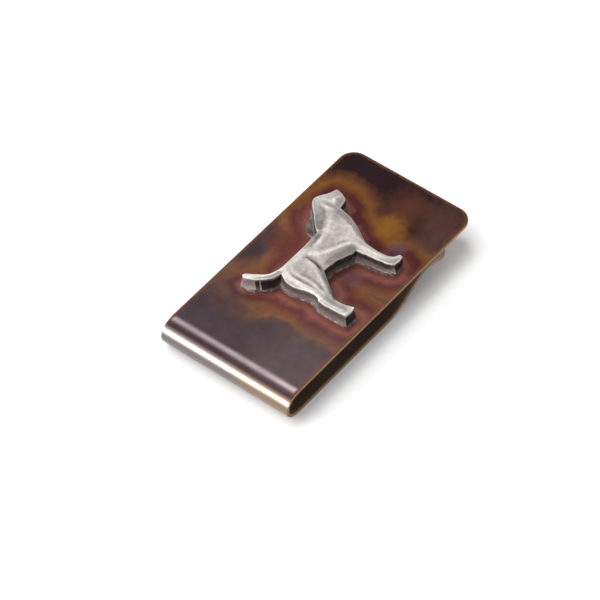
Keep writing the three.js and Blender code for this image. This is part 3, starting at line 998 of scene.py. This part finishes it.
def paper_material():
    m = Nodes(bpy.data.materials.new("floor_paper"))
    return m.finish(Base_Color=srgb(246, 246, 246), Roughness=0.9)


# ---------------------------------------------------------------- building

def rest_places(obj):
    return np.array([v.co for v in obj.data.vertices]) / MM


def inward_lean(obj, places, gap_height):
    """How squarely each point faces the gap between the legs, seen at gap_height, from -1 to 1."""
    middle = places.copy()
    middle[:, 1] = np.maximum(places[:, 1], BEND_END)
    middle[:, 2] = gap_height
    towards = middle - places
    towards /= np.linalg.norm(towards, axis=1, keepdims=True)
    normals = np.array([v.normal for v in obj.data.vertices])
    return np.sum(normals * towards, axis=1)


def edge_distance(places, end, corner_radius):
    """Distance in plan from the edge of a leg that runs to end."""
    corner = np.array([HALF_WIDTH, end]) - corner_radius
    past = np.stack([np.abs(places[:, 0]), places[:, 1]], axis=1) - corner
    return corner_radius - np.linalg.norm(np.maximum(past, 0), axis=1)


def mark_strip(obj, outline, end=TIP, corner_radius=PLATE_CORNER_RADIUS, is_leg=False):
    """Stores how far each point is from the casting and the edge, and its shares of patina and painted
    shade.
    """
    places = rest_places(obj)
    in_dog = np.stack([places[:, 1] - DOG_MIDDLE_Y, DOG_GROUND_X - places[:, 0]], axis=1)
    halo = distance_to_lines(in_dog, outline, np.roll(outline, -1, axis=0))
    near_tail = 1 - smooth_step(np.linalg.norm(in_dog - TAIL_TIP, axis=1), *TAIL_RADII)
    store_number(obj, "halo_mm", halo * (1 + TAIL_SQUEEZE * near_tail))
    edge = edge_distance(places, end, corner_radius)
    store_number(obj, "edge_mm", edge)
    on_face = smooth_step(edge, 0.0, 0.1)
    store_number(obj, "rim", 1 - on_face)
    behind = np.maximum(BEND_END - places[:, 1], 0)
    above = places[:, 2] - BEND_RADIUS
    angle = np.degrees(np.arctan2(behind, above))
    outer = np.hypot(behind, above) > BEND_RADIUS - THICKNESS / 2
    store_number(obj, "patina", outer * on_face * (1 - smooth_step(angle, *PATINA_FADE)))
    gap_height = PLATE_TOP - THICKNESS if is_leg else BEND_RADIUS
    inside = smooth_step(inward_lean(obj, places, gap_height), 0.3, 0.9)
    store_number(obj, "inside", inside)
    # Painted shade: all over the back leg, and under the bend's turn as a painted reflection of the shaded
    # floor
    outside_tarnish = 1.0 if is_leg else smooth_step(angle, *SHADED_FLOOR_RISE)
    store_number(obj, "tarnish", inside * INSIDE_SHADE + (1 - inside) * outside_tarnish)


plate = make_sheet("plate_sheet", front_path(), spacing=0.3, columns=88, corner_radius=PLATE_CORNER_RADIUS)
bend = make_sheet("bend_sheet", bend_path(), spacing=0.09, columns=44)
leg = make_sheet("leg_sheet", leg_path(), spacing=0.4, columns=66, corner_radius=LEG_CORNER_RADIUS)
dog = make_dog(PLATE_TOP + SOLDER_THICKNESS)
solder = make_solder()

casting_foot = dog_outline(step=0.5)[1]
strip_metal = strip_material()
mark_strip(plate, casting_foot)
mark_strip(bend, casting_foot)
mark_strip(leg, casting_foot, LEG_END, LEG_CORNER_RADIUS, is_leg=True)
for sheet in (plate, bend, leg):
    sheet.data.materials.append(strip_metal)
dog.data.materials.append(pewter_material())
solder.data.materials.append(solder_material())

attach(plate, "front")
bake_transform(bend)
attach(leg, "back")
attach(dog, "front")
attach(solder, "front")
for piece, node, slot in (
    (plate, "front_plate", "patina_plate"),
    (bend, "spring_bend", "bare_strip"),
    (leg, "back_leg", "bare_strip"),
    (dog, "dog_casting", "pewter"),
    (solder, "solder_bed", "solder"),
):
    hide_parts(node)


# ---------------------------------------------------------------- studio and camera

CAMERA_DIRECTION = (142.1, 48.86)  # azimuth and elevation in degrees
CAMERA_DISTANCE = 591.8
CAMERA_AIM = Vector((-0.09, -5.29, 2.77))
LENS = 214.0
FLOOR_REACH = 3  # metres

floor_mesh = bpy.data.meshes.new("floor")
corners = [(-FLOOR_REACH, -FLOOR_REACH), (FLOOR_REACH, -FLOOR_REACH), (FLOOR_REACH, FLOOR_REACH),
           (-FLOOR_REACH, FLOOR_REACH)]
floor_mesh.from_pydata([(x, y, 0) for x, y in corners], [], [[0, 1, 2, 3]])
floor = bpy.data.objects.new("floor", floor_mesh)
bpy.context.scene.collection.objects.link(floor)
floor.data.materials.append(paper_material())


def direction_to(azimuth, elevation):
    """A unit vector, with azimuth in degrees from +Y towards +X and elevation in degrees above the floor."""
    turn, rise = math.radians(azimuth), math.radians(elevation)
    return Vector((math.sin(turn) * math.cos(rise), math.cos(turn) * math.cos(rise), math.sin(rise)))


def add_camera():
    data = bpy.data.cameras.new("camera")
    data.lens = LENS
    data.clip_start = 0.01
    camera = bpy.data.objects.new("camera", data)
    bpy.context.scene.collection.objects.link(camera)
    back = direction_to(*CAMERA_DIRECTION)
    camera.location = (CAMERA_AIM + back * CAMERA_DISTANCE) * MM
    camera.rotation_euler = back.to_track_quat("Z", "Y").to_euler()
    bpy.context.scene.camera = camera


def add_softbox(name, azimuth, elevation, distance, size, radiance):
    """A square area light facing the clip; distance and size are in metres."""
    data = bpy.data.lights.new(name, "AREA")
    data.shape = "SQUARE"
    data.size = size
    data.energy = radiance * math.pi * size**2
    light = bpy.data.objects.new(name, data)
    towards = direction_to(azimuth, elevation)
    light.location = towards * distance
    light.rotation_euler = towards.to_track_quat("Z", "Y").to_euler()
    bpy.context.scene.collection.objects.link(light)
    return light


# Brightness of the studio by the sine of the elevation: white walls low down and a dim ceiling
STUDIO_STOPS = [(0.0, 4.0), (0.3, 4.0), (0.46, 2.4), (0.6, 1.0), (0.74, 0.6), (1.0, 0.4)]
BRIGHT_SIDE = math.radians(-150)  # azimuth of the brightest wall
DARK_SIDE_SHARE = 0.25
KEY_DIRECTION = (-55, 60.5)  # a soft lamp: azimuth and elevation in degrees
KEY_SPREAD = 4.9
KEY_RADIANCE = 14.0


def add_studio():
    m = Nodes(bpy.data.worlds.new("studio"))
    direction = m.add("ShaderNodeTexCoord", output="Generated")
    x, y, z = m.separate(direction)
    facing = m.plus(m.times(x, math.sin(BRIGHT_SIDE)), m.times(y, math.cos(BRIGHT_SIDE)))
    facing = m.plus(m.times(facing, 0.5), 0.5)
    share = m.plus(m.times(m.maths("POWER", facing, 2.0), 1 - DARK_SIDE_SHARE), DARK_SIDE_SHARE)
    walls = m.times(m.ramp(z, [(height, (light, light, light, 1)) for height, light in STUDIO_STOPS]), share)
    aligned = m.add("ShaderNodeVectorMath", settings={"operation": "DOT_PRODUCT"}, output="Value",
                    in0=direction, in1=direction_to(*KEY_DIRECTION))
    # A Gaussian of the angle from the key's middle: exp((cos - 1) / spread^2)
    off_middle = m.maths("DIVIDE", m.minus(aligned, 1.0), math.radians(KEY_SPREAD) ** 2)
    key = m.times(m.maths("EXPONENT", off_middle), KEY_RADIANCE)
    bpy.context.scene.world = m.finish("Background", Color=(1, 1, 1, 1), Strength=m.plus(walls, key))


add_camera()
add_studio()
fill = add_softbox("fill", azimuth=-115, elevation=58, distance=2.0, size=2.4, radiance=2.2)
fill.visible_glossy = False
bpy.context.scene.view_settings.view_transform = "Standard"
